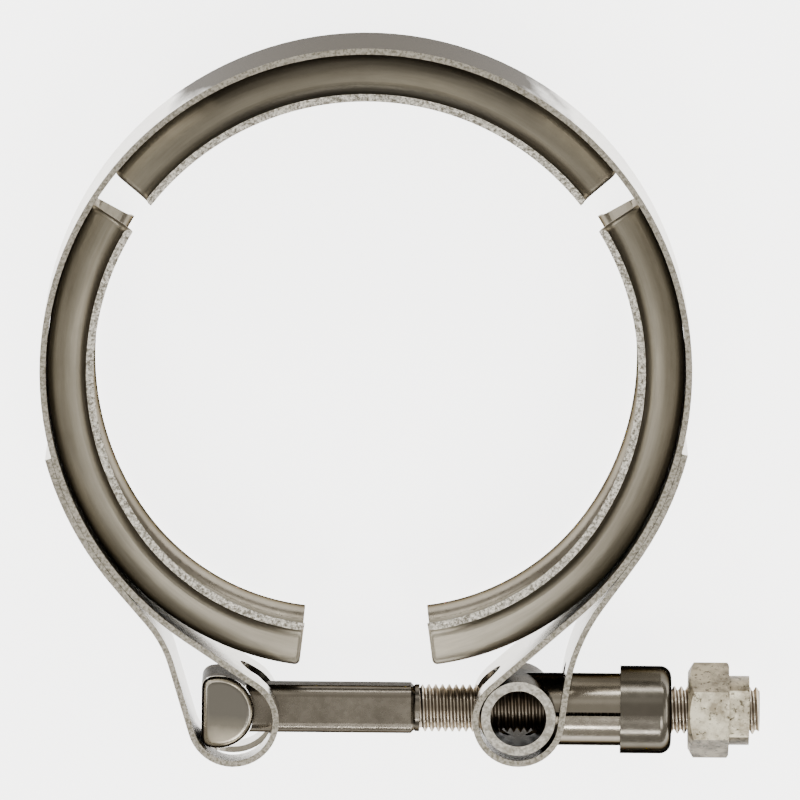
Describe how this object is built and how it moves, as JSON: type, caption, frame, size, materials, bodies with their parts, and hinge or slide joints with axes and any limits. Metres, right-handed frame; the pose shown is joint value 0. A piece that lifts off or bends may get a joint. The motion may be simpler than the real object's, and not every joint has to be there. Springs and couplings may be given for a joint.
{
  "type": "V-band clamp",
  "caption": "V-band clamp with grooved segments in a flat steel band, closed by a T-bolt, a folded trunnion and a lock nut.",
  "frame": {"origin": "centre of the clamp's ring, halfway across the band", "axes": "+Z along the ring's axis; +X along the T-bolt, from its head to its nut; +Y from the bolt towards the ring's far side"},
  "size_m": [0.0956, 0.0961, 0.019],
  "materials": {
    "band_steel": "satin",
    "segment_steel": "satin",
    "bolt_steel": "satin",
    "trunnion_steel": "polished",
    "nut_plating": "satin"
  },
  "bodies": {
    "clamp": {"band": "band_steel", "v_segment_top": "segment_steel", "v_segment_left": "segment_steel", "v_segment_right": "segment_steel"},
    "bolt": {"t_bolt": "bolt_steel"},
    "swivel": {"trunnion": "trunnion_steel", "trunnion_cap": "trunnion_steel"},
    "nut": {"lock_nut": "nut_plating"}
  },
  "joints": [
    {"name": "bolt_float", "type": "slide", "parent": "clamp", "child": "bolt", "axis": [1, -0.0087, 0], "range_m": [0, 0.0013]},
    {"name": "nut_travel", "type": "slide", "parent": "bolt", "child": "nut", "axis": [1, -0.0087, 0], "range_m": [-0.0021, 0.0085]},
    {"name": "trunnion_swivel", "type": "hinge", "parent": "clamp", "child": "swivel", "pos_m": [0.0202, -0.04625, 0], "axis": [0, 0, 1], "range_deg": [-1.2, 1.2]}
  ]
}
